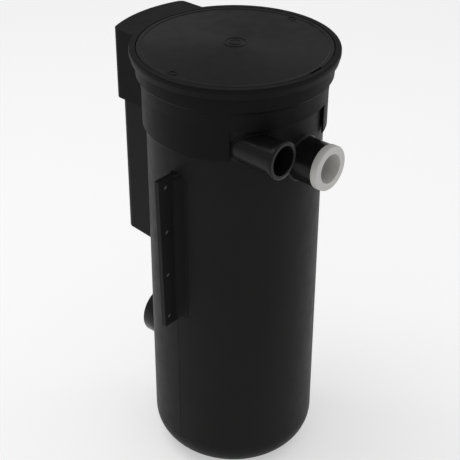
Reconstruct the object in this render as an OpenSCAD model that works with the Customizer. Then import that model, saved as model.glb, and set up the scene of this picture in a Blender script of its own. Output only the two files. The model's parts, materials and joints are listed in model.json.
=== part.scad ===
// In-ground canister filter: a tall round-bottomed tank with a rear inlet throat, a height-adjusting
// collar with a flush lid, two upper front pipe ports, a low rear port and a drilled fin on each side.
// Frame: origin on the tank axis at the flat bottom, +Z up, upper pipe ports towards -Y, throat towards +Y.

/* [Tank] */
// Height from the flat bottom to the top of the lid with the collar fully down
overall_h = 965; // [945:5:1045]
// Thickness of the moulded tank wall
tank_wall = 4; // [3:0.5:5]
// Radius of the rounded edge between the tank side and its bottom
bottom_round = 70; // [64:1:74]
// Depth of the throat's floor below the lid, at its outer end
throat_depth = 463; // [455:1:466]

/* [Collar and lid] */
// Length of the collar's sleeve, from the lid level to its lower edge
skirt_len = 161; // [156:1:165]
// Depth below the lid at which the notch over the pipe ports begins
notch_depth = 97; // [94:1:98]
// Length of the box cap on the back of the collar
cap_len = 153; // [148:1:156]
// Thickness of the lid plate
lid_t = 7; // [6.5:0.25:7]
// Rise of the lid's domed middle above its rim groove
lid_dome = 6; // [3:0.5:8]
// Number of stiffening ribs under the lid
lid_ribs = 12; // [6:1:18]

/* [Side fins] */
// Width of each drilled fin at its top, measured outwards from the tank
fin_w = 50; // [44:1:56]
// How much narrower each fin is at its bottom
fin_taper = 8; // [0:0.5:10]
// Height of each fin
fin_h = 350; // [340:1:365]
// Thickness of each fin
fin_t = 10; // [8:0.5:14]
// Radius of the fixing holes in the fins
fin_hole_r = 5; // [4:0.5:6]

/* [Front ports] */
// Bore radius of both upper ports, for a two-inch pressure pipe
port_bore_r = 30.15; // [28:0.05:31]
// Reach of the larger port from the tank axis to its front face
outlet_reach = 246; // [242:1:256]
// Reach of the smaller port from the tank axis to its mouth
overflow_reach = 215; // [208:1:225]

/* [Filter insides] */
// Depth of the leaf basket below its rim
basket_depth = 134; // [110:2:136]
// Number of slots round the leaf basket
basket_slots = 28; // [16:2:32]
// Height of the foam sleeve
foam_h = 188; // [120:2:188]
// Outside radius of the foam sleeve
foam_r = 96; // [80:1:98]
// Number of holes round the perforated core
core_holes = 8; // [6:1:10]
// Height of the weir flap above its hinge
flap_h = 150; // [110:2:170]

/* [Hidden] */
$fn = 96;
eps = 0.01;
tank_r = 180;
tank_in = tank_r - tank_wall;
tank_top = overall_h - 36;
floor_t = 5;
seam_w = 1.2;
seam_h = 0.35;
joint_gap = 0.02;

throat_r = 245.5;
throat_w = 95;
throat_c = 17;
throat_wall = 4;
throat_slope = 5.2;
throat_z = overall_h - throat_depth;
throat_cut_w = 84;

lid_r = 195;
lid_open_r = 196.5;
dome_edge = 184.4;
ledge_in = 170;
lid_z = overall_h - lid_t;
ledge_z = overall_h - 10;
screw_pitch_r = 178;
screw_a = [0, 180];

cap_r = 258.5;
cap_w = 101;
cap_c = 16;
cap_wall = 4;
skirt_in = 183.2;

outlet_z = overall_h - 188;
outlet_r = 45;
outlet_in = 40;
flange_r = 46.4;
flange_t = 15;
overflow_x = -108;
overflow_z = overall_h - 138;
overflow_root_r = 34.6;
overflow_mouth_r = 39;
inlet_z = 220;
inlet_r = 59;
inlet_bore = 55.2;
inlet_reach = 231;

fin_mid_z = overall_h - 387.5;
fin_pitch = 103;
fin_rows = 4;
fin_hole_x = 209;
fin_root = 10;

mouth_w = 60;
mouth_z0 = overall_h - 380;
mouth_z1 = overall_h - 180;
frame_lip = 14;
frame_r0 = 247;
frame_r1 = 252;
mouth_screw_x = 67;
mouth_screw_r = 2.4;
mouth_rows = 5;

hinge_y = 217;
hinge_z = mouth_z0 - 10;
hinge_pin_r = 3;
hinge_gap = 0.05;
hinge_eye_r = 6;
flap_w = 66;
flap_y = 226;
flap_t = 4;

shelf_z = throat_z - 9.5;
shelf_t = 6;
basket_y = 30;
basket_r = 112;
basket_base_r = 100;
basket_rim_r = 121;
basket_wall = 2.5;
bail_r = 113;
bail_rod = 3;
bail_z = shelf_z + 16;

riser_y = -134;
riser_r = 30.15;
riser_wall = 3.6;
elbow_r = 36;
manifold_z = 60;
cart_y = 20;
cart_z = 104;
cap_t = 8;
core_r = 32;
foam_z = cart_z + cap_t + 1;
cart_top = foam_z + foam_h + 1;

// Ring section turned about the tank axis
module turned(points) {
    rotate_extrude($fn = 144) polygon(points);
}

// Tube along Z
module tube(r_out, r_in, z0, z1) {
    difference() {
        translate([0, 0, z0]) cylinder(r = r_out, h = z1 - z0);
        translate([0, 0, z0 - 1]) cylinder(r = r_in, h = z1 - z0 + 2);
    }
}

// Cylinder pointing along -Y, from y0 to y1 (both counted forwards from the axis)
module forward_rod(r, y0, y1) {
    translate([0, -y0, 0]) rotate([90, 0, 0]) cylinder(r = r, h = y1 - y0);
}

// Upright block with a curved outer face concentric with the tank and rounded outer corners
module arc_block(r, w, c, z0, z1) {
    side = asin((w - c) / (r - c));
    corner_y = (r - c) * cos(side);
    far = r * 1.2;
    translate([0, 0, z0]) {
        intersection() {
            cylinder(r = r, h = z1 - z0, $fn = 180);
            linear_extrude(height = z1 - z0)
                polygon([[0, 0], [far * sin(side), far * cos(side)], [-far * sin(side), far * cos(side)]]);
        }
        translate([-w, 0, 0]) cube([2 * w, corner_y, z1 - z0]);
        for (s = [-1, 1]) translate([s * (w - c), corner_y, 0]) cylinder(r = c, h = z1 - z0, $fn = 48);
    }
}

// Everything above a floor that falls towards the tank
module above_floor(z) {
    translate([0, throat_r, z]) rotate([throat_slope, 0, 0]) translate([-300, -600, 0]) cube([600, 700, 900]);
}

// A drilled fin on one side of the tank
module fin() {
    z0 = fin_mid_z - fin_h / 2;
    z1 = z0 + fin_h;
    top_x = tank_r + fin_w;
    side = fin_t / 2 + fin_root;
    root_x = sqrt(pow(tank_r + fin_root, 2) - side * side);
    foot = side * tank_r / (tank_r + fin_root) - 1.4;
    difference() {
        union() {
            rotate([90, 0, 0]) linear_extrude(height = fin_t, center = true)
                polygon([[tank_r - 3, z0], [top_x - fin_taper, z0], [top_x, z1], [tank_r - 3, z1]]);
            translate([tank_r - 3, -foot, z0]) cube([root_x - tank_r + 3, 2 * foot, fin_h]);
        }
        translate([0, 0, z0 - 1]) cylinder(r = tank_r + joint_gap, h = fin_h + 2, $fn = 144);
        for (s = [-1, 1]) translate([root_x, s * side, z0 - 1])
            cylinder(r = fin_root, h = fin_h + 2, $fn = 48);
        for (i = [0 : fin_rows - 1])
            translate([fin_hole_x, 0, fin_mid_z + (i - (fin_rows - 1) / 2) * fin_pitch])
                rotate([90, 0, 0]) cylinder(r = fin_hole_r, h = fin_t + 2, center = true, $fn = 36);
    }
}

module tank_shell() {
    ri = bottom_round - tank_wall;
    color("#202122") difference() {
        union() {
            rotate_extrude($fn = 144) union() {
                translate([0, bottom_round]) square([tank_r, tank_top - bottom_round]);
                square([tank_r - bottom_round, bottom_round + 1]);
                intersection() {
                    translate([tank_r - bottom_round, bottom_round]) circle(r = bottom_round, $fn = 96);
                    translate([tank_r - bottom_round - 1, 0]) square([bottom_round + 1, bottom_round + 1]);
                }
            }
            // Mould seam below each fin
            for (a = [0, 180]) rotate([0, 0, a]) translate([tank_r - 1, -seam_w / 2, bottom_round])
                cube([1 + seam_h, seam_w, fin_mid_z - fin_h / 2 - 1 - bottom_round]);
        }
        // Hollow of the tank
        rotate_extrude($fn = 144) union() {
            translate([0, bottom_round]) square([tank_in, tank_top]);
            translate([0, floor_t]) square([tank_r - bottom_round, bottom_round]);
            intersection() {
                translate([tank_r - bottom_round, bottom_round]) circle(r = ri, $fn = 96);
                translate([tank_r - bottom_round - 1, floor_t]) square([bottom_round, bottom_round]);
            }
        }
        // Way in from the throat, open at the top
        intersection() {
            translate([-throat_cut_w, 100, throat_z - 30]) cube([2 * throat_cut_w, 120, 600]);
            above_floor(throat_z + throat_wall);
        }
        // Front port holes and the low rear port hole
        translate([0, 0, outlet_z]) forward_rod(outlet_r + 0.1, 120, 210);
        translate([overflow_x, 0, overflow_z]) forward_rod(overflow_root_r + 0.2, 60, 200);
        translate([0, 0, inlet_z]) rotate([0, 0, 180]) forward_rod(inlet_r + 0.1, 120, 210);
    }
    // Ledge that carries the basket shelf, broken where the riser passes and under the throat
    color("#202122") difference() {
        tube(tank_in + 1, tank_in - 8, shelf_z - 8, shelf_z);
        translate([0, riser_y - 30, shelf_z - 4]) cube([90, 60, 20], center = true);
        translate([0, tank_in, shelf_z - 4]) cube([2 * throat_cut_w, 40, 20], center = true);
    }
}

module throat_box() {
    color("#202122") difference() {
        intersection() {
            arc_block(throat_r, throat_w, throat_c, throat_z - 60, tank_top);
            above_floor(throat_z);
        }
        translate([0, 0, throat_z - 70]) cylinder(r = tank_r + joint_gap, h = 700, $fn = 144);
        intersection() {
            arc_block(throat_r - throat_wall, throat_w - throat_wall, throat_c - throat_wall,
                throat_z - 60, tank_top + 5);
            above_floor(throat_z + throat_wall);
        }
        // Mouth through the outer wall
        translate([-mouth_w, throat_r - 30, mouth_z0]) cube([2 * mouth_w, 40, mouth_z1 - mouth_z0]);
        mouth_screw_places() cylinder(r = mouth_screw_r + 0.1, h = 14, center = true, $fn = 24);
    }
    // Ears for the weir hinge rod
    color("#202122") for (s = [-1, 1]) difference() {
        translate([s * 75 - 3, hinge_y - 7, hinge_z - 8]) cube([6, 22, 16]);
        translate([s * 75, hinge_y, hinge_z]) rotate([0, 90, 0])
            cylinder(r = hinge_pin_r + 0.02, h = 8, center = true, $fn = 36);
    }
}

module fin_left() {
    color("#202122") mirror([1, 0, 0]) fin();
}

module fin_right() {
    color("#202122") fin();
}

module collar() {
    H = overall_h;
    skirt_z = H - skirt_len;
    notch_a0 = 218;
    notch_a1 = 290.5;
    color("#232425") difference() {
        union() {
            difference() {
                turned([[lid_open_r, H], [206.5, H], [208.4, H - 0.8], [209, H - 2.5], [209, H - 9],
                    [205.5, H - 22], [198, H - 26], [197.3, H - 52], [190, H - 60], [187.6, H - 88],
                    [187, skirt_z + 2], [185.6, skirt_z], [skirt_in, skirt_z], [skirt_in, H - 62],
                    [186.5, H - 57], [193, H - 49.5], [193, H - 24], [ledge_in, H - 17],
                    [ledge_in, ledge_z], [lid_open_r, ledge_z]]);
                // Clear way from the tank into the box cap, under the lid ledge
                translate([-(cap_w - cap_wall), 0, skirt_z - 5]) cube([2 * (cap_w - cap_wall), 260, skirt_len - 12]);
            }
            // Box cap over the throat, with side walls running into the ring
            difference() {
                arc_block(cap_r, cap_w, cap_c, H - cap_len, H);
                translate([0, 0, H - cap_len - 5]) cylinder(r = 186, h = cap_len + 10);
                translate([0, 0, H - 17]) cylinder(r = 200, h = 30);
                arc_block(cap_r - cap_wall, cap_w - cap_wall, cap_c - cap_wall, H - cap_len - 10, H - 5);
            }
            // Bosses that take the lid screws
            for (a = screw_a) rotate([0, 0, a]) translate([screw_pitch_r, 0, H - 34])
                cylinder(r = 4.9, h = 23, $fn = 36);
        }
        for (a = screw_a) rotate([0, 0, a]) translate([screw_pitch_r, 0, H - 32])
            cylinder(r = 3.4, h = 40, $fn = 36);
        // Notch in the sleeve that clears the upper pipe ports
        translate([0, 0, skirt_z - 5]) rotate([0, 0, notch_a0]) rotate_extrude(angle = notch_a1 - notch_a0)
            translate([skirt_in - 6, 0]) square([14, skirt_len + 5 - notch_depth]);
    }
}

// Section under a shallow arc that is level with the given height at the edge of the lid's dome
module dome_section(edge_z, z0) {
    arc_r = (dome_edge * dome_edge + lid_dome * lid_dome) / (2 * lid_dome);
    intersection() {
        translate([0, edge_z + lid_dome - arc_r]) circle(r = arc_r, $fn = 360);
        translate([0, z0]) square([dome_edge, edge_z + lid_dome + 1 - z0]);
    }
}

module lid() {
    H = overall_h;
    finger_a = 10.8;
    crown_z = H - 1 + lid_dome;
    rib_top = H - 4;
    color("#2c2d2e") difference() {
        union() {
            // Plate: a flat rim round a domed middle of even thickness
            rotate_extrude($fn = 144) union() {
                polygon([[dome_edge - 1, lid_z], [lid_r, lid_z], [lid_r, H - 1], [lid_r - 1, H],
                    [dome_edge + 2.6, H], [dome_edge, H - 1], [dome_edge - 1, H - 1]]);
                difference() {
                    dome_section(H - 1, lid_z - 1);
                    dome_section(lid_z, lid_z - 2);
                }
            }
            tube(23.3, 20.6, crown_z - 2, crown_z + 0.7);
            tube(12.5, 10.2, crown_z - 2, crown_z + 0.7);
            // Locating wall and ribs, running up into the plate
            intersection() {
                union() {
                    tube(168, 164, lid_z - 12, crown_z);
                    tube(60, 57, lid_z - 10, crown_z);
                    for (i = [0 : lid_ribs - 1]) rotate([0, 0, i * 360 / lid_ribs])
                        translate([58, -1.5, lid_z - 10]) cube([108, 3, crown_z - lid_z + 10]);
                }
                rotate_extrude($fn = 144) dome_section(rib_top, lid_z - 20);
            }
            // Raised surround of each screw, with room for the screw under it
            for (a = screw_a) rotate([0, 0, a]) translate([screw_pitch_r, 0, lid_z])
                cylinder(r = 8.6, h = lid_t + 0.6, $fn = 48);
        }
        for (a = screw_a) rotate([0, 0, a]) translate([screw_pitch_r, 0, 0]) {
            translate([0, 0, lid_z - 1]) cylinder(r = 3.2, h = lid_t + 3, $fn = 36);
            translate([0, 0, H - 3.4]) cylinder(r = 6.4, h = 5, $fn = 36);
        }
        // Finger notch in the front edge
        rotate([0, 0, 272.5 - finger_a / 2]) translate([0, 0, lid_z - 1]) rotate_extrude(angle = finger_a)
            translate([lid_r - 3.2, 0]) square([8, lid_t + 2]);
    }
}

module lid_gasket() {
    color("#141414") tube(dome_edge + 3.4, dome_edge, ledge_z, lid_z);
}

module lid_screws() {
    H = overall_h;
    color("#8b8d90") for (a = screw_a) rotate([0, 0, a]) translate([screw_pitch_r, 0, 0]) difference() {
        union() {
            translate([0, 0, H - 3.3]) cylinder(r = 6, h = 2.4, $fn = 36);
            translate([0, 0, H - 29]) cylinder(r = 2.9, h = 26, $fn = 36);
        }
        translate([0, 0, H - 1.7]) cylinder(r = 2.6, h = 2, $fn = 6);
    }
}

module outlet_pipe() {
    color("#1b1c1d") difference() {
        translate([0, 0, outlet_z]) forward_rod(outlet_r, 150, outlet_reach - flange_t);
        translate([0, 0, outlet_z]) forward_rod(outlet_in, 140, outlet_reach);
        translate([0, 0, outlet_z - 60]) cylinder(r = tank_in, h = 120);
    }
}

module reducer_bushing() {
    front = outlet_reach;
    edge = 2;
    color("#a9abac") translate([0, 0, outlet_z]) difference() {
        union() {
            translate([0, -front, 0]) rotate([-90, 0, 0]) rotate_extrude()
                polygon([[0, 0], [flange_r - edge, 0], [flange_r - 0.6, 0.6], [flange_r, edge],
                    [flange_r, flange_t], [0, flange_t]]);
            forward_rod(outlet_in - 0.1, front - 46, front - flange_t + eps);
        }
        forward_rod(port_bore_r, front - 38, front + 1);
        forward_rod(port_bore_r - 3, front - 50, front + 1);
    }
}

module overflow_socket() {
    reach = overflow_reach;
    color("#1b1c1d") difference() {
        translate([overflow_x, -reach, overflow_z]) rotate([-90, 0, 0]) rotate_extrude()
            polygon([[0, 0], [overflow_mouth_r - 3, 0], [overflow_mouth_r - 0.9, 0.9], [overflow_mouth_r, 3],
                [overflow_mouth_r, 9], [overflow_mouth_r - 2.5, 10.5], [overflow_root_r, reach - 167],
                [overflow_root_r, reach - 95], [0, reach - 95]]);
        translate([overflow_x, 0, overflow_z]) forward_rod(port_bore_r, reach - 50, reach + 1);
        translate([overflow_x, 0, overflow_z]) forward_rod(port_bore_r - 2.5, 60, reach);
        translate([0, 0, overflow_z - 60]) cylinder(r = tank_in, h = 120);
    }
}

module inlet_socket() {
    color("#1b1c1d") translate([0, 0, inlet_z]) rotate([0, 0, 180]) difference() {
        forward_rod(inlet_r, 150, inlet_reach);
        forward_rod(inlet_bore, inlet_reach - 50, inlet_reach + 1);
        forward_rod(inlet_bore - 3, 140, inlet_reach);
        translate([0, 0, -80]) cylinder(r = tank_in, h = 160);
    }
}

// Screw places round the mouth: each child's Z axis points radially outwards
module mouth_screw_places() {
    span = mouth_z1 - mouth_z0 + frame_lip;
    for (s = [-1, 1]) for (i = [0 : mouth_rows - 1]) {
        a = asin(s * mouth_screw_x / frame_r0);
        translate([0, 0, mouth_z0 - frame_lip / 2 + i * span / (mouth_rows - 1)]) rotate([0, 0, -a])
            translate([0, frame_r0 - 2, 0]) rotate([-90, 0, 0]) children();
    }
    for (z = [mouth_z0 - frame_lip / 2, mouth_z1 + frame_lip / 2])
        translate([0, frame_r0 - 2, z]) rotate([-90, 0, 0]) children();
}

// Curved rectangular frame round the mouth
module mouth_ring(r0, r1, grow) {
    difference() {
        intersection() {
            tube(r1, r0, mouth_z0 - frame_lip - grow, mouth_z1 + frame_lip + grow);
            translate([-mouth_w - frame_lip - grow, 150, 0])
                cube([2 * (mouth_w + frame_lip + grow), 150, overall_h]);
        }
        translate([-mouth_w, 150, mouth_z0]) cube([2 * mouth_w, 150, mouth_z1 - mouth_z0]);
        mouth_screw_places() cylinder(r = mouth_screw_r + 0.1, h = 20, center = true, $fn = 24);
    }
}

module mouth_gasket() {
    color("#0f0f0f") mouth_ring(throat_r, frame_r0, 0);
}

module mouth_frame() {
    color("#26282a") mouth_ring(frame_r0, frame_r1, 0);
}

module mouth_screws() {
    color("#b4b6b8") mouth_screw_places() difference() {
        union() {
            translate([0, 0, frame_r1 - frame_r0 + 2]) cylinder(r1 = 4.4, r2 = 3.6, h = 1.8, $fn = 32);
            translate([0, 0, -2.5]) cylinder(r = mouth_screw_r, h = 10, $fn = 32);
        }
        translate([-3, -0.5, frame_r1 - frame_r0 + 3]) cube([6, 1, 2]);
        translate([-0.5, -3, frame_r1 - frame_r0 + 3]) cube([1, 6, 2]);
    }
}

module weir_flap() {
    color("#2a2c2e") difference() {
        union() {
            translate([-flap_w, flap_y, hinge_z]) cube([2 * flap_w, flap_t, flap_h]);
            translate([-flap_w, hinge_y, hinge_z - 3]) cube([2 * flap_w, flap_y - hinge_y + flap_t, 6]);
            translate([-flap_w, hinge_y, hinge_z]) rotate([0, 90, 0]) cylinder(r = hinge_eye_r, h = 2 * flap_w, $fn = 48);
            for (x = [-44, -22, 0, 22, 44]) translate([x - 1, flap_y - 5, hinge_z])
                cube([2, 6, flap_h - 44]);
        }
        translate([0, hinge_y, hinge_z]) rotate([0, 90, 0])
            cylinder(r = hinge_pin_r + hinge_gap, h = 2 * flap_w + 4, center = true, $fn = 48);
    }
}

module weir_float() {
    color("#d8d5c8") translate([-flap_w + 8, flap_y - 14, hinge_z + flap_h - 40])
        cube([2 * (flap_w - 8), 14, 34]);
}

module hinge_rod() {
    color("#9fa2a5") translate([0, hinge_y, hinge_z]) rotate([0, 90, 0])
        cylinder(r = hinge_pin_r, h = 162, center = true, $fn = 48);
}

module basket_shelf() {
    color("#303234") difference() {
        translate([0, 0, shelf_z]) cylinder(r = tank_in - 1, h = shelf_t, $fn = 144);
        translate([0, basket_y, shelf_z - 1]) cylinder(r = basket_r + 1.5, h = shelf_t + 2);
        translate([0, riser_y, shelf_z - 1]) cylinder(r = riser_r + 2, h = shelf_t + 2);
        translate([-riser_r - 2, -tank_in - 5, shelf_z - 1])
            cube([2 * riser_r + 4, tank_in + 5 + riser_y, shelf_t + 2]);
        for (s = [-1, 1]) translate([s * 118, -72, shelf_z - 1]) cylinder(r = 11, h = shelf_t + 2, $fn = 36);
    }
}

module leaf_basket() {
    rim_z = shelf_z + shelf_t;
    base_z = rim_z - basket_depth;
    rows = 3;
    slot_h = (basket_depth - 34) / rows;
    color("#3a3d40") translate([0, basket_y, 0]) {
        difference() {
            rotate_extrude() polygon([[0, base_z], [basket_base_r, base_z], [basket_r, rim_z],
                [basket_rim_r, rim_z], [basket_rim_r, rim_z + 4], [basket_r - basket_wall, rim_z + 4],
                [basket_base_r - basket_wall, base_z + basket_wall], [0, base_z + basket_wall]]);
            for (j = [0 : rows - 1]) for (i = [0 : basket_slots - 1])
                rotate([0, 0, (i + 0.5) * 360 / basket_slots])
                    translate([basket_base_r - 12, -2.5, base_z + 14 + j * (slot_h + 4)]) cube([30, 5, slot_h - 4]);
            for (ring = [[28, 8], [50, 14], [72, 20], [90, 26]]) for (i = [0 : ring[1] - 1])
                rotate([0, 0, i * 360 / ring[1]]) translate([ring[0], 0, base_z - 1])
                    cylinder(r = 4.5, h = basket_wall + 2, $fn = 24);
        }
        // Ears for the bail, standing on the rim
        for (s = [-1, 1]) difference() {
            translate([s * (bail_r - 5.5) - 2, -6, rim_z + 4 - eps]) cube([4, 12, bail_z - rim_z + 1]);
            translate([s * (bail_r - 5.5), 0, bail_z]) rotate([0, 90, 0])
                cylinder(r = 2.05, h = 8, center = true, $fn = 36);
        }
    }
}

module basket_bail() {
    color("#b0b3b5") translate([0, basket_y, bail_z]) {
        rotate_extrude(angle = 180) translate([bail_r, 0]) circle(r = bail_rod, $fn = 36);
        for (s = [-1, 1]) {
            translate([s * bail_r, 0, 0]) sphere(r = bail_rod + 0.4, $fn = 36);
            translate([s * (bail_r - 6), 0, 0]) rotate([0, 90, 0]) cylinder(r = 2, h = 10, center = true, $fn = 36);
        }
    }
}

module cartridge_core() {
    rows = 7;
    color("#e6e6e2") translate([0, cart_y, 0]) difference() {
        tube(core_r, core_r - 3.5, cart_z + cap_t, cart_top);
        for (j = [0 : rows - 1]) for (i = [0 : core_holes - 1])
            rotate([0, 0, (i + (j % 2) / 2) * 360 / core_holes])
                translate([core_r - 8, 0, foam_z + 14 + j * (foam_h - 28) / (rows - 1)]) rotate([0, 90, 0])
                    cylinder(r = 5, h = 16, $fn = 24);
    }
}

module cartridge_foam() {
    color("#3d5f86") translate([0, cart_y, 0]) tube(foam_r, core_r + 0.3, foam_z, foam_z + foam_h);
}

module cartridge_base_cap() {
    color("#e6e6e2") translate([0, cart_y, 0]) difference() {
        union() {
            translate([0, 0, cart_z]) cylinder(r = foam_r + 2, h = cap_t);
            translate([0, 0, cart_z - 20]) cylinder(r = 35.8, h = 21);
        }
        translate([0, 0, cart_z - 21]) cylinder(r = 28, h = cap_t + 22);
        translate([0, 0, cart_z - 21]) cylinder(r = 5, h = 30);
        tube(37, 33.4, cart_z - 13.5, cart_z - 10.7);
    }
    // Three-armed spider that holds the clamp rod
    color("#e6e6e2") translate([0, cart_y, 0]) difference() {
        union() {
            for (i = [0 : 2]) rotate([0, 0, 30 + 120 * i]) translate([0, -3, cart_z - 4]) cube([29, 6, 8]);
            translate([0, 0, cart_z - 4]) cylinder(r = 10, h = 8, $fn = 36);
        }
        translate([0, 0, cart_z - 6]) cylinder(r = 4.1, h = 12, $fn = 36);
    }
}

module cartridge_o_ring() {
    color("#101010") translate([0, cart_y, cart_z - 12.1]) rotate_extrude()
        translate([34.65, 0]) circle(r = 1.2, $fn = 36);
}

module cartridge_top_cap() {
    color("#e6e6e2") translate([0, cart_y, 0]) difference() {
        union() {
            translate([0, 0, cart_top]) cylinder(r = foam_r + 2, h = cap_t - 1);
            translate([0, 0, cart_top]) cylinder(r = 18, h = cap_t + 1, $fn = 48);
            for (i = [0 : 5]) rotate([0, 0, 60 * i]) translate([16, -2, cart_top]) cube([foam_r - 20, 4, cap_t + 1]);
        }
        translate([0, 0, cart_top - 1]) cylinder(r = 4.1, h = cap_t + 4, $fn = 36);
    }
}

module clamp_rod() {
    color("#9fa2a5") translate([0, cart_y, cart_z - 12]) {
        cylinder(r = 4, h = cart_top + 20 - cart_z, $fn = 36);
        translate([0, 0, 0]) cylinder(r = 7.5, h = 7.9, $fn = 6);
    }
}

module clamp_knob() {
    color("#1e1f20") translate([0, cart_y, cart_top + cap_t + 1.2]) difference() {
        union() {
            cylinder(r = 11, h = 8, $fn = 48);
            translate([0, 0, 4]) cube([44, 7, 8], center = true);
            for (s = [-1, 1]) translate([22 * s, 0, 0]) cylinder(r = 5, h = 8, $fn = 36);
        }
        translate([0, 0, -1]) cylinder(r = 4.1, h = 10, $fn = 36);
    }
}

module cartridge_stand() {
    top = cart_z - 7;
    color("#303234") difference() {
        union() {
            translate([0, cart_y, top - 6]) cylinder(r = 88, h = 6);
            for (x = [-62, 62]) for (y = [-40, 78]) translate([x, y, floor_t]) cylinder(r = 8, h = top - floor_t - 3, $fn = 36);
        }
        translate([0, cart_y, top - 8]) cylinder(r = 41.5, h = 12);
        for (i = [0 : 11]) rotate([0, 0, 0]) translate([0, cart_y, top - 8]) rotate([0, 0, 30 * i + 15])
            translate([62, 0, 0]) cylinder(r = 9, h = 12, $fn = 36);
    }
}

module suction_manifold() {
    r_in = elbow_r - 4;
    wall = 4;
    duct_r = 30;
    base = manifold_z - 36;
    color("#1f2021") difference() {
        union() {
            translate([0, riser_y, manifold_z]) sphere(r = elbow_r);
            translate([0, riser_y, manifold_z]) cylinder(r = elbow_r, h = 46);
            translate([0, 0, manifold_z]) forward_rod(duct_r, -cart_y, -riser_y);
            translate([0, cart_y, base]) cylinder(r = 40, h = cart_z - 1 - base);
        }
        translate([0, riser_y, manifold_z]) sphere(r = r_in - 3);
        translate([0, riser_y, manifold_z]) cylinder(r = r_in - 3, h = 50);
        translate([0, riser_y, manifold_z + 10]) cylinder(r = riser_r + 0.1, h = 60);
        translate([0, 0, manifold_z]) forward_rod(duct_r - wall, -cart_y, -riser_y);
        translate([0, cart_y, base + wall]) cylinder(r = 36.2, h = 90);
    }
}

module riser_pipe() {
    color("#c9c9c4") translate([0, riser_y, 0])
        tube(riser_r, riser_r - riser_wall, manifold_z + 10.2, outlet_z - 32);
}

module riser_elbow() {
    color("#1f2021") difference() {
        union() {
            translate([0, riser_y, outlet_z]) sphere(r = 39.8);
            translate([0, riser_y, outlet_z - 76]) cylinder(r = elbow_r, h = 76);
            translate([0, 0, outlet_z]) forward_rod(39.8, -riser_y, 194);
        }
        translate([0, riser_y, outlet_z]) sphere(r = 34);
        translate([0, 0, outlet_z]) forward_rod(34, -riser_y, 200);
        translate([0, riser_y, outlet_z - 77]) cylinder(r = 27, h = 77);
        translate([0, riser_y, outlet_z - 77]) cylinder(r = riser_r + 0.1, h = 45.2);
    }
}

module riser_clip() {
    z = overall_h * 0.36;
    color("#303234") difference() {
        union() {
            translate([0, riser_y, z]) cylinder(r = riser_r + 4, h = 26);
            translate([-24, -tank_in - 4, z]) cube([48, 30, 26]);
        }
        translate([0, riser_y, z - 1]) cylinder(r = riser_r + 0.05, h = 28);
        translate([-22, riser_y + 8, z - 1]) cube([44, 40, 28]);
        difference() {
            translate([0, 0, z - 2]) cylinder(r = tank_r + 60, h = 30);
            translate([0, 0, z - 3]) cylinder(r = tank_in, h = 32);
        }
    }
}

tank_shell();
throat_box();
fin_left();
fin_right();
collar();
lid();
lid_gasket();
lid_screws();
outlet_pipe();
reducer_bushing();
overflow_socket();
inlet_socket();
mouth_gasket();
mouth_frame();
mouth_screws();
weir_flap();
weir_float();
hinge_rod();
basket_shelf();
leaf_basket();
basket_bail();
cartridge_core();
cartridge_foam();
cartridge_base_cap();
cartridge_top_cap();
cartridge_o_ring();
clamp_rod();
clamp_knob();
cartridge_stand();
suction_manifold();
riser_pipe();
riser_elbow();
riser_clip();
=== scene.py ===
"""Looks of an in-ground canister filter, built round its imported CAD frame.

Metres, +Z up, in the CAD's own frame: Z is the tank's axis and the two upper ports point along -Y.
"""
import json
import math

import bpy
from mathutils import Matrix, Vector, noise


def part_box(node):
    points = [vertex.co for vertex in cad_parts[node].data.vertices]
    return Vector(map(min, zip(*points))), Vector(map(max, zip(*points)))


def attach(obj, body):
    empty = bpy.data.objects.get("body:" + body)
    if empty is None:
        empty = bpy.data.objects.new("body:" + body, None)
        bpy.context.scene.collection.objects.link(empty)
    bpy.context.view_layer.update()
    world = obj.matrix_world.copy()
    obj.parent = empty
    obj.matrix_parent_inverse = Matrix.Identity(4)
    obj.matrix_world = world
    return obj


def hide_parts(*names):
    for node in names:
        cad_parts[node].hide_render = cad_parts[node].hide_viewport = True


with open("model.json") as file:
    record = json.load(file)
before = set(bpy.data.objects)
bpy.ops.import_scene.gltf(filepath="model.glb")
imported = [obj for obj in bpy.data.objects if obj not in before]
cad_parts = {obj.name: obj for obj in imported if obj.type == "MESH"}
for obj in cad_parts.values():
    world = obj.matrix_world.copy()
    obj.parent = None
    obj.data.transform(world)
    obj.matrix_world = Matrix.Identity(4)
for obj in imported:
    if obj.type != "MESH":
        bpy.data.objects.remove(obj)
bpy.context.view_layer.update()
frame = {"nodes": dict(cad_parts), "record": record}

NODES = frame["nodes"]
MM = 0.001

# Dimensions that part.scad also has.
TANK_R = 0.180
OUTLET_Z = 0.777        # larger upper port, in front of the tank's axis
OUTLET_R = 0.0450
OVERFLOW_X = -0.108     # smaller upper port
OVERFLOW_Z = 0.827
OVERFLOW_R = 0.0346
INLET_Z = 0.220         # low rear port, behind the axis
INLET_R = 0.0590
FIN_HALF = 5.0 * MM     # half of a fin's thickness
FIN_HOLE_X = 0.209      # holes in both fins, this far from the axis
FIN_HOLE_LOW = 0.423    # height of the lowest
FIN_PITCH = 0.103       # and the step between them

LEFT, RIGHT = -1, 1     # signs of X
FRONT, BACK = -1, 1     # signs of Y

# ------------------------------------------------------------------------------------- camera

CAMERA_PLACE = Vector((-1.6389, -1.4247, 1.9031))
CAMERA_HEADING = math.radians(48.765)   # from +Y towards +X
CAMERA_PITCH = math.radians(32.213)     # below the horizon
CAMERA_ROLL = math.radians(0.197)
CAMERA_LENS_MM = 93.37
SENSOR_MM = 36.0


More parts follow.
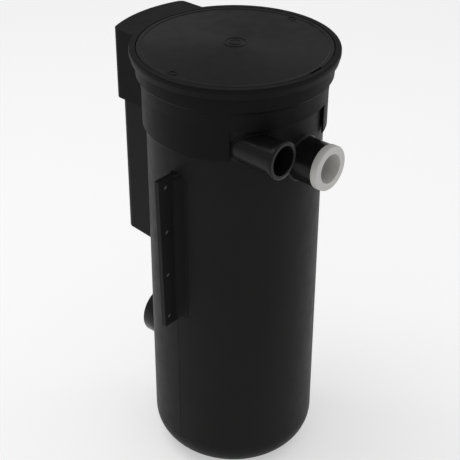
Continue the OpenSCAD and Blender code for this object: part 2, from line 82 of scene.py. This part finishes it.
def make_camera():
    data = bpy.data.cameras.new("camera")
    data.sensor_width = SENSOR_MM
    data.lens = CAMERA_LENS_MM
    data.clip_start = 0.05
    data.clip_end = 60
    camera = bpy.data.objects.new("camera", data)
    bpy.context.scene.collection.objects.link(camera)
    turn = Matrix.Rotation(-CAMERA_HEADING, 4, "Z")
    tilt = Matrix.Rotation(math.pi / 2 - CAMERA_PITCH, 4, "X")
    roll = Matrix.Rotation(CAMERA_ROLL, 4, "Z")
    camera.matrix_world = Matrix.Translation(CAMERA_PLACE) @ turn @ tilt @ roll
    bpy.context.scene.camera = camera


make_camera()

# ------------------------------------------------------------------------------------- studio

LIGHTS_AIM = (0, 0, 0.6)


def soft_box(name, place, size, radiance):
    """A soft area light of that radiance, aimed at the tank. size is (width, height)."""
    data = bpy.data.lights.new(name, "AREA")
    data.shape = "RECTANGLE"
    data.size, data.size_y = size
    data.energy = radiance * math.pi * size[0] * size[1]
    light = bpy.data.objects.new(name, data)
    bpy.context.scene.collection.objects.link(light)
    light.location = place
    aim = Vector(LIGHTS_AIM) - Vector(place)
    light.rotation_euler = aim.to_track_quat("-Z", "Y").to_euler()
    light.visible_camera = False


def make_world(strength):
    world = bpy.data.worlds.new("studio")
    world.use_nodes = True
    background = world.node_tree.nodes["Background"]
    background.inputs["Color"].default_value = (1, 1, 1, 1)
    background.inputs["Strength"].default_value = strength
    bpy.context.scene.world = world


def make_floor(half, albedo, glow):
    """A matt floor, half wide on each side of the origin, that also glows to come out near white."""
    mesh = bpy.data.meshes.new("floor")
    corners = [(-half, -half, 0), (half, -half, 0), (half, half, 0), (-half, half, 0)]
    mesh.from_pydata(corners, [], [(0, 1, 2, 3)])
    floor = bpy.data.objects.new("floor", mesh)
    bpy.context.scene.collection.objects.link(floor)
    material = bpy.data.materials.new("floor")
    material.use_nodes = True
    shader = material.node_tree.nodes["Principled BSDF"]
    shader.inputs["Base Color"].default_value = (albedo, albedo, albedo, 1)
    shader.inputs["Roughness"].default_value = 0.9
    shader.inputs["Specular IOR Level"].default_value = 0.1
    shader.inputs["Emission Color"].default_value = (1, 1, 1, 1)
    shader.inputs["Emission Strength"].default_value = glow
    mesh.materials.append(material)


bpy.context.scene.view_settings.view_transform = "Standard"
make_world(strength=0.5)
make_floor(half=9.0, albedo=0.8, glow=0.42)
soft_box("overhead", place=(-0.6, 1.0, 3.3), size=(1.5, 2.4), radiance=1.9)
soft_box("lid_key", place=(1.75, -1.0, 3.2), size=(0.9, 0.9), radiance=1.8)

# ------------------------------------------------------------------------------------- materials


class Shader:
    """A Principled material in object coordinates, which here are the frame's metres."""

    def __init__(self, name):
        self.material = bpy.data.materials.new(name)
        self.material.use_nodes = True
        self.tree = self.material.node_tree
        self.out = self.tree.nodes["Principled BSDF"]
        self.place = self.node("ShaderNodeTexCoord").outputs["Object"]

    def node(self, kind, **values):
        made = self.tree.nodes.new(kind)
        for key, value in values.items():
            setattr(made, key, value)
        return made

    def link(self, source, target):
        self.tree.links.new(source, target)

    def set(self, **values):
        """Constant values on the shader's own sockets, with _ for a space in their names."""
        for key, value in values.items():
            self.out.inputs[key.replace("_", " ")].default_value = value

    def axis(self, name):
        """The X, Y or Z coordinate."""
        split = self.node("ShaderNodeSeparateXYZ")
        self.link(self.place, split.inputs[0])
        return split.outputs[name]

    def maths(self, operation, *values):
        """One Math node's result. Each value is a number or a socket."""
        made = self.node("ShaderNodeMath", operation=operation)
        for socket, value in zip(made.inputs, values):
            if isinstance(value, (int, float)):
                socket.default_value = value
            else:
                self.link(value, socket)
        return made.outputs[0]

    def noise(self, scale, detail=3.0, stretch=None):
        """A noise from 0 to 1, its features about 1/scale metres across.

        stretch is a factor for each axis, by which the coordinates are multiplied first.
        """
        made = self.node("ShaderNodeTexNoise")
        made.inputs["Scale"].default_value = scale
        made.inputs["Detail"].default_value = detail
        made.inputs["Roughness"].default_value = 0.55
        place = self.place
        if stretch:
            mapping = self.node("ShaderNodeMapping")
            mapping.inputs["Scale"].default_value = stretch
            self.link(place, mapping.inputs["Vector"])
            place = mapping.outputs["Vector"]
        self.link(place, made.inputs["Vector"])
        return made.outputs["Fac"]

    def ramp(self, value, low, high, start=0.3, end=0.7):
        """A number or a colour that goes from low to high as value goes from start to end."""
        if isinstance(low, (int, float)):
            made = self.node("ShaderNodeMapRange")
            made.inputs["From Min"].default_value = start
            made.inputs["From Max"].default_value = end
            made.inputs["To Min"].default_value = low
            made.inputs["To Max"].default_value = high
            self.link(value, made.inputs["Value"])
            return made.outputs["Result"]
        made = self.node("ShaderNodeValToRGB")
        for point, at, colour in zip(made.color_ramp.elements, (start, end), (low, high)):
            point.position = at
            point.color = (*colour, 1)
        self.link(value, made.inputs["Fac"])
        return made.outputs["Color"]

    def bump(self, height, depth):
        """Adds a bump of that depth in metres, over any bump already there."""
        made = self.node("ShaderNodeBump")
        made.inputs["Distance"].default_value = depth
        self.link(height, made.inputs["Height"])
        normal = self.out.inputs["Normal"]
        if normal.is_linked:
            self.link(normal.links[0].from_socket, made.inputs["Normal"])
        self.link(made.outputs["Normal"], normal)


COARSE_GRAIN = 0.02 * MM
FINE_GRAIN = 0.004 * MM


def shade(colour, factor):
    return tuple(min(1.0, c * factor) for c in colour)


def plastic(name, colour, roughness, specular, grain=900.0, depth=COARSE_GRAIN, mottle=0.10):
    """Moulded plastic: faint mottling of colour and gloss, and a fine grain of that depth."""
    shader = Shader(name)
    shader.set(Specular_IOR_Level=specular)
    patches = shader.noise(9.0, detail=4.0)
    mottled = shader.ramp(patches, shade(colour, 1 - mottle), shade(colour, 1 + mottle))
    shader.link(mottled, shader.out.inputs["Base Color"])
    gloss = shader.ramp(shader.noise(38.0), roughness - 0.03, roughness + 0.04)
    shader.link(gloss, shader.out.inputs["Roughness"])
    shader.bump(shader.noise(grain, detail=2.0), depth)
    return shader


def turned_sheen(shader, amount, turn, rings_per_metre, depth):
    """Fine turning marks round the Z axis, and the two-sided gleam that goes with them."""
    tangent = shader.node("ShaderNodeTangent", direction_type="RADIAL", axis="Z")
    shader.link(tangent.outputs["Tangent"], shader.out.inputs["Tangent"])
    shader.set(Anisotropic=amount, Anisotropic_Rotation=turn)
    flat = shader.node("ShaderNodeVectorMath", operation="MULTIPLY")
    flat.inputs[1].default_value = (1, 1, 0)
    shader.link(shader.place, flat.inputs[0])
    radius = shader.node("ShaderNodeVectorMath", operation="LENGTH")
    shader.link(flat.outputs["Vector"], radius.inputs[0])
    marks = shader.node("ShaderNodeTexNoise", noise_dimensions="1D")
    marks.inputs["Scale"].default_value = rings_per_metre
    marks.inputs["Detail"].default_value = 2.0
    shader.link(radius.outputs["Value"], marks.inputs["W"])
    shader.bump(marks.outputs["Fac"], depth)


def open_cells(name, colour, pore_shade, cell, depth):
    """Cellular foam of that cell size: pale cell walls, with painted shade darkening the hollow of
    each cell.
    """
    shader = Shader(name)
    shader.set(Specular_IOR_Level=0.15, Roughness=0.92)
    cells = shader.node("ShaderNodeTexVoronoi", feature="F1")
    cells.inputs["Scale"].default_value = 1.0 / cell
    shader.link(shader.place, cells.inputs["Vector"])
    # Painted shade: each cell's hollow gets the darker colour.
    walls = shader.ramp(cells.outputs["Distance"], pore_shade, colour, 0.15, 0.6)
    shader.link(walls, shader.out.inputs["Base Color"])
    shader.bump(cells.outputs["Distance"], depth)
    shader.bump(shader.noise(60.0, detail=4.0), depth)
    return shader


def painted_hole_glint(shader, glint_colour, reach, pale_half):
    """A painted highlight inside the fins' holes: a pale colour that stands in for the light they
    catch.

    It covers what is within reach of a hole's axis. It is strongest at the fin's middle plane and
    has gone at pale_half to either side of it.
    """
    across = shader.maths("SUBTRACT", shader.maths("ABSOLUTE", shader.axis("X")), FIN_HOLE_X)
    height = shader.maths("SUBTRACT", shader.axis("Z"), FIN_HOLE_LOW)
    along = shader.maths("WRAP", height, FIN_PITCH / 2, -FIN_PITCH / 2)
    across_2 = shader.maths("MULTIPLY", across, across)
    along_2 = shader.maths("MULTIPLY", along, along)
    distance = shader.maths("SQRT", shader.maths("ADD", across_2, along_2))
    aside = shader.maths("MULTIPLY", shader.maths("ABSOLUTE", shader.axis("Y")), 1 / pale_half)
    strength = shader.maths("MAXIMUM", shader.maths("SUBTRACT", 1.0, aside), 0.0)
    inside = shader.maths("MULTIPLY", shader.maths("LESS_THAN", distance, reach), strength)
    colour = shader.out.inputs["Base Color"]
    mix = shader.node("ShaderNodeMix", data_type="RGBA")
    shader.link(inside, mix.inputs["Factor"])
    shader.link(colour.links[0].from_socket, mix.inputs["A"])
    mix.inputs["B"].default_value = (*glint_colour, 1)
    shader.link(mix.outputs["Result"], colour)


def painted_shade_by_the_fin(shader, dark, pale, near, far):
    """Painted shade: colour from dark to pale as the distance from the fins' middle plane goes near
    to far.
    """
    away = shader.maths("ABSOLUTE", shader.axis("Y"))
    shader.link(shader.ramp(away, dark, pale, near, far), shader.out.inputs["Base Color"])


TANK_BLACK = (0.0100, 0.0100, 0.0098)
# A darker black painted on the fins' root fillets as shade in the crease.
ROOT_SHADE_BLACK = (0.0050, 0.0050, 0.0049)
# Pale colour painted in the fins' holes as a highlight, in place of the light they catch.
HOLE_GLINT_PALE = (0.20, 0.20, 0.195)

tank = plastic("tank_plastic", TANK_BLACK, 0.45, 0.08)
collar = plastic("collar_plastic", (0.0062, 0.0062, 0.0061), 0.50, 0.07, grain=700)
lid = plastic("lid_plastic", (0.0090, 0.0090, 0.0089), 0.42, 0.08, depth=FINE_GRAIN)
turned_sheen(lid, amount=0.55, turn=0.315, rings_per_metre=420.0, depth=COARSE_GRAIN)
pipe = plastic("pipe_plastic", (0.0085, 0.0085, 0.0085), 0.24, 0.16, depth=FINE_GRAIN)
grey = plastic("grey_plastic", (0.56, 0.555, 0.535), 0.45, 0.4, mottle=0.03)
white = plastic("white_plastic", (0.70, 0.70, 0.66), 0.3, 0.5, mottle=0.02, depth=0.01 * MM)
inner = plastic("inner_plastic", (0.03, 0.031, 0.033), 0.45, 0.4)
rubber = plastic("seal_rubber", (0.008, 0.008, 0.008), 0.8, 0.2, grain=500)
# The second colour of each foam is painted shade in its cells.
blue_foam = open_cells("filter_foam", (0.06, 0.13, 0.26), (0.012, 0.03, 0.07),
                       cell=2.2 * MM, depth=0.8 * MM)
pale_foam = open_cells("float_foam", (0.66, 0.64, 0.57), (0.5, 0.48, 0.42),
                       cell=3.2 * MM, depth=0.25 * MM)
steel = plastic("steel", (0.55, 0.56, 0.57), 0.32, 0.5, depth=FINE_GRAIN)
steel.set(Metallic=1.0)
steel.bump(steel.noise(120.0, stretch=(1, 14, 14)), COARSE_GRAIN)
dark_screw = plastic("dark_screw", (0.035, 0.035, 0.036), 0.5, 0.4, depth=FINE_GRAIN)
dark_screw.set(Metallic=0.8)
fin = plastic("fin_plastic", (0.0085, 0.0085, 0.0084), 0.42, 0.1)
# Painted highlight: the fins' holes get a pale colour in place of the light they catch.
painted_hole_glint(fin, HOLE_GLINT_PALE, reach=5.6 * MM, pale_half=3.6 * MM)
# Painted shade: the fins' root fillets darken towards the fin, where shade falls in the crease.
root = plastic("root_plastic_painted_shade", TANK_BLACK, 0.46, 0.08)
painted_shade_by_the_fin(root, ROOT_SHADE_BLACK, TANK_BLACK, near=0.010, far=0.029)

# A node takes the material of its slot in the record, unless it has one of its own.
SLOT_SHADERS = {
    "tank_plastic": tank, "collar_plastic": collar, "lid_plastic": lid, "pipe_plastic": pipe,
    "grey_plastic": grey, "white_plastic": white, "inner_plastic": inner, "seal_rubber": rubber,
    "filter_foam": blue_foam, "float_foam": pale_foam, "steel": steel,
}
OWN_SHADERS = {"lid_screws": dark_screw, "fin_left": fin, "fin_right": fin}
for part in frame["record"]["subparts"]:
    shader = OWN_SHADERS.get(part["node"], SLOT_SHADERS[part["material_slot"]])
    piece = NODES[part["node"]]
    piece.data.materials.clear()
    piece.data.materials.append(shader.material)

# ------------------------------------------------------------------------------------- edges

# Widths of the rounded edges, in millimetres.
EASED = {
    "fin_left": 1.6, "fin_right": 1.6, "throat_box": 1.2, "reducer_bushing": 0.8,
    "clamp_knob": 1.0, "mouth_frame": 0.6, "weir_flap": 0.6, "basket_shelf": 0.6,
    "cartridge_top_cap": 0.8, "cartridge_base_cap": 0.8, "cartridge_stand": 0.8,
    "riser_clip": 0.8, "lid_screws": 0.4, "mouth_screws": 0.25, "inlet_socket": 0.8,
}


def ease(node, width):
    """Rounds the sharp edges of a CAD node, by modifiers only."""
    piece = NODES[node]
    weld = piece.modifiers.new("weld", "WELD")
    weld.merge_threshold = 0.005 * MM
    bevel = piece.modifiers.new("edges", "BEVEL")
    bevel.width = width * MM
    bevel.segments = 3
    bevel.limit_method = "ANGLE"
    bevel.angle_limit = math.radians(40)
    bevel.harden_normals = True


for node, width in EASED.items():
    ease(node, width)

# ------------------------------------------------------------------------------------- pieces


def add_piece(name, points, faces, body, shader):
    """A smooth mesh that rides on that body and takes that shader's material."""
    mesh = bpy.data.meshes.new(name)
    mesh.from_pydata(points, [], faces)
    mesh.validate()
    mesh.polygons.foreach_set("use_smooth", [True] * len(mesh.polygons))
    mesh.materials.append(shader.material)
    piece = bpy.data.objects.new(name, mesh)
    bpy.context.scene.collection.objects.link(piece)
    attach(piece, body)
    return piece


def ring_faces(rings, section, closed_rings=True):
    """Faces of a tube whose rings each hold the points of one closed section.

    The last ring joins the first, or with closed_rings=False both ends are capped.
    """
    faces = []
    for i in range(rings if closed_rings else rings - 1):
        j = (i + 1) % rings
        for k in range(section):
            m = (k + 1) % section
            faces.append((i * section + k, i * section + m, j * section + m, j * section + k))
    if not closed_rings:
        faces.append(tuple(reversed(range(section))))
        faces.append(tuple(range((rings - 1) * section, rings * section)))
    return faces


def flipped(faces):
    return [tuple(reversed(face)) for face in faces]


def port_root(name, x, z, side, pipe_r, tank_leg, pipe_leg, shader, steps=120, arc=7):
    """The moulded fillet where a port leaves the tank: a band that is tangent to both.

    It reaches tank_leg along the tank and pipe_leg along the pipe, in arc points per section.
    """
    bury = 0.6 * MM
    along_pipe = Vector((0, side, 0))
    points = []
    for i in range(steps):
        t = 2 * math.pi * i / steps
        radial = Vector((math.cos(t), 0, math.sin(t)))
        px = x + pipe_r * radial.x
        meet = Vector((px, side * math.sqrt(TANK_R ** 2 - px ** 2), z + pipe_r * radial.z))
        tank_normal = Vector((meet.x, meet.y, 0)).normalized()
        along_tank = (radial - tank_normal * radial.dot(tank_normal)).normalized()
        for k in range(arc):
            s = k / (arc - 1)
            on_tank = along_tank * tank_leg * (1 - s) ** 2
            points.append(meet + on_tank + along_pipe * pipe_leg * s ** 2)
        points.append(meet - (along_tank + along_pipe) * bury)
    faces = ring_faces(steps, arc + 1)
    if side < 0:
        faces = flipped(faces)
    add_piece(name, points, faces, "tank", shader)


port_root("outlet_root", 0, OUTLET_Z, FRONT, OUTLET_R, 4 * MM, 4 * MM, pipe)
port_root("overflow_root", OVERFLOW_X, OVERFLOW_Z, FRONT, OVERFLOW_R, 4 * MM, 10 * MM, tank)
port_root("inlet_root", 0, INLET_Z, BACK, INLET_R, 5 * MM, 6 * MM, pipe)


def fin_root(name, side, face, along_fin=13 * MM, round_tank=24 * MM, arc=12, rows=60):
    """The long moulded fillet that blends one face of a fin into the tank.

    It shrinks to a quarter of its size at both ends, over the height fade.
    """
    low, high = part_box("fin_left")
    z0, z1 = low[2], high[2]
    fade = 14 * MM
    end_size = 0.25
    lift = 0.15 * MM
    bury = 1.5 * MM
    corner = Vector((math.sqrt(TANK_R ** 2 - FIN_HALF ** 2), FIN_HALF))
    points = []
    for i in range(rows + 1):
        z = z0 + (z1 - z0) * i / rows
        end = min(1.0, (z - z0) / fade, (z1 - z) / fade)
        grow = end_size + (1 - end_size) * math.sin(end * math.pi / 2)
        turn = math.asin((FIN_HALF + round_tank * grow) / TANK_R)
        foot = Vector((TANK_R * math.cos(turn), TANK_R * math.sin(turn)))
        top = Vector((corner.x + along_fin * grow, FIN_HALF))
        for k in range(arc + 1):
            s = k / arc
            spot = foot * (1 - s) ** 2 + corner * 2 * s * (1 - s) + top * s ** 2
            points.append((side * (spot.x + lift), face * (spot.y + lift), z))
        points.append((side * (corner.x - bury), face * (corner.y - bury), z))
    faces = ring_faces(rows + 1, arc + 2, closed_rings=False)
    if side * face > 0:
        faces = flipped(faces)
    add_piece(name, points, faces, "tank", root)


for side, label in ((LEFT, "left"), (RIGHT, "right")):
    fin_root("fin_%s_root_front" % label, side, FRONT)
    fin_root("fin_%s_root_back" % label, side, BACK)


def foam_sleeve(steps=144, rows=30):
    """Open-cell foam tube, pinched a little by the caps at both ends and uneven all round."""
    low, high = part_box("cartridge_foam")
    cx, cy = (low[0] + high[0]) / 2, (low[1] + high[1]) / 2
    z0, z1 = low[2], high[2]
    r_end = (high[0] - low[0]) / 2 - 2.2 * MM
    r_in = 32.4 * MM
    swell = 1.3 * MM
    corner = 3.0 * MM
    cut = corner * 0.3
    # Each point of the section is a radius, a height and how far the lumps show there.
    section = []
    for k in range(rows + 1):
        s = k / rows
        crown = 1 - (2 * s - 1) ** 2
        section.append((r_end + swell * crown, z0 + corner + (z1 - z0 - 2 * corner) * s, 1.0))
    section += [
        (r_end - cut, z1 - cut, 1.0),
        (r_end - corner, z1, 0.0),
        (r_in, z1, 0.0),
        (r_in, z0, 0.0),
        (r_end - corner, z0, 0.0),
        (r_end - cut, z0 + cut, 1.0),
    ]
    points = []
    for i in range(steps):
        t = 2 * math.pi * i / steps
        for r, z, rough in section:
            spot = Vector((r * math.cos(t), r * math.sin(t), z))
            lump = 0.5 * MM * noise.noise(spot * 55) + 0.4 * MM * noise.noise(spot * 260)
            r_here = r + rough * lump
            points.append((cx + r_here * math.cos(t), cy + r_here * math.sin(t), z))
    faces = ring_faces(steps, len(section))
    sleeve = add_piece("foam_sleeve", points, faces, "cartridge", blue_foam)
    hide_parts("cartridge_foam")


foam_sleeve()


def float_bar(steps_x=60, steps_round=40):
    """Closed-cell float bar with soft edges, two strap grooves and a slightly uneven skin."""
    low, high = (Vector(v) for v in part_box("weir_float"))
    centre, half = (low + high) / 2, (high - low) / 2
    corner = 3.0 * MM
    shrink = 0.3 * MM
    squareness = 0.35
    unevenness = 0.012
    groove_x, groove_half, groove_deep = 36 * MM, 2.2 * MM, 1.1 * MM
    points = []
    for i in range(steps_x + 1):
        x = half.x * math.sin((2 * i / steps_x - 1) * math.pi / 2)
        end = max(0.0, abs(x) - (half.x - corner)) / corner
        inset = corner * (1 - math.sqrt(max(0.0, 1 - end ** 2)))
        if abs(abs(x) - groove_x) < groove_half:
            inset += groove_deep
        half_y, half_z = half.y - inset - shrink, half.z - inset - shrink
        for k in range(steps_round):
            t = 2 * math.pi * k / steps_round
            y = half_y * math.copysign(abs(math.cos(t)) ** squareness, math.cos(t))
            z = half_z * math.copysign(abs(math.sin(t)) ** squareness, math.sin(t))
            swell = 1 + unevenness * noise.noise(Vector((x, y, z)) * 120)
            points.append(centre + Vector((x, y * swell, z * swell)))
    faces = ring_faces(steps_x + 1, steps_round, closed_rings=False)
    bar = add_piece("float_bar", points, faces, "weir", pale_foam)
    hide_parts("weir_float")


float_bar()
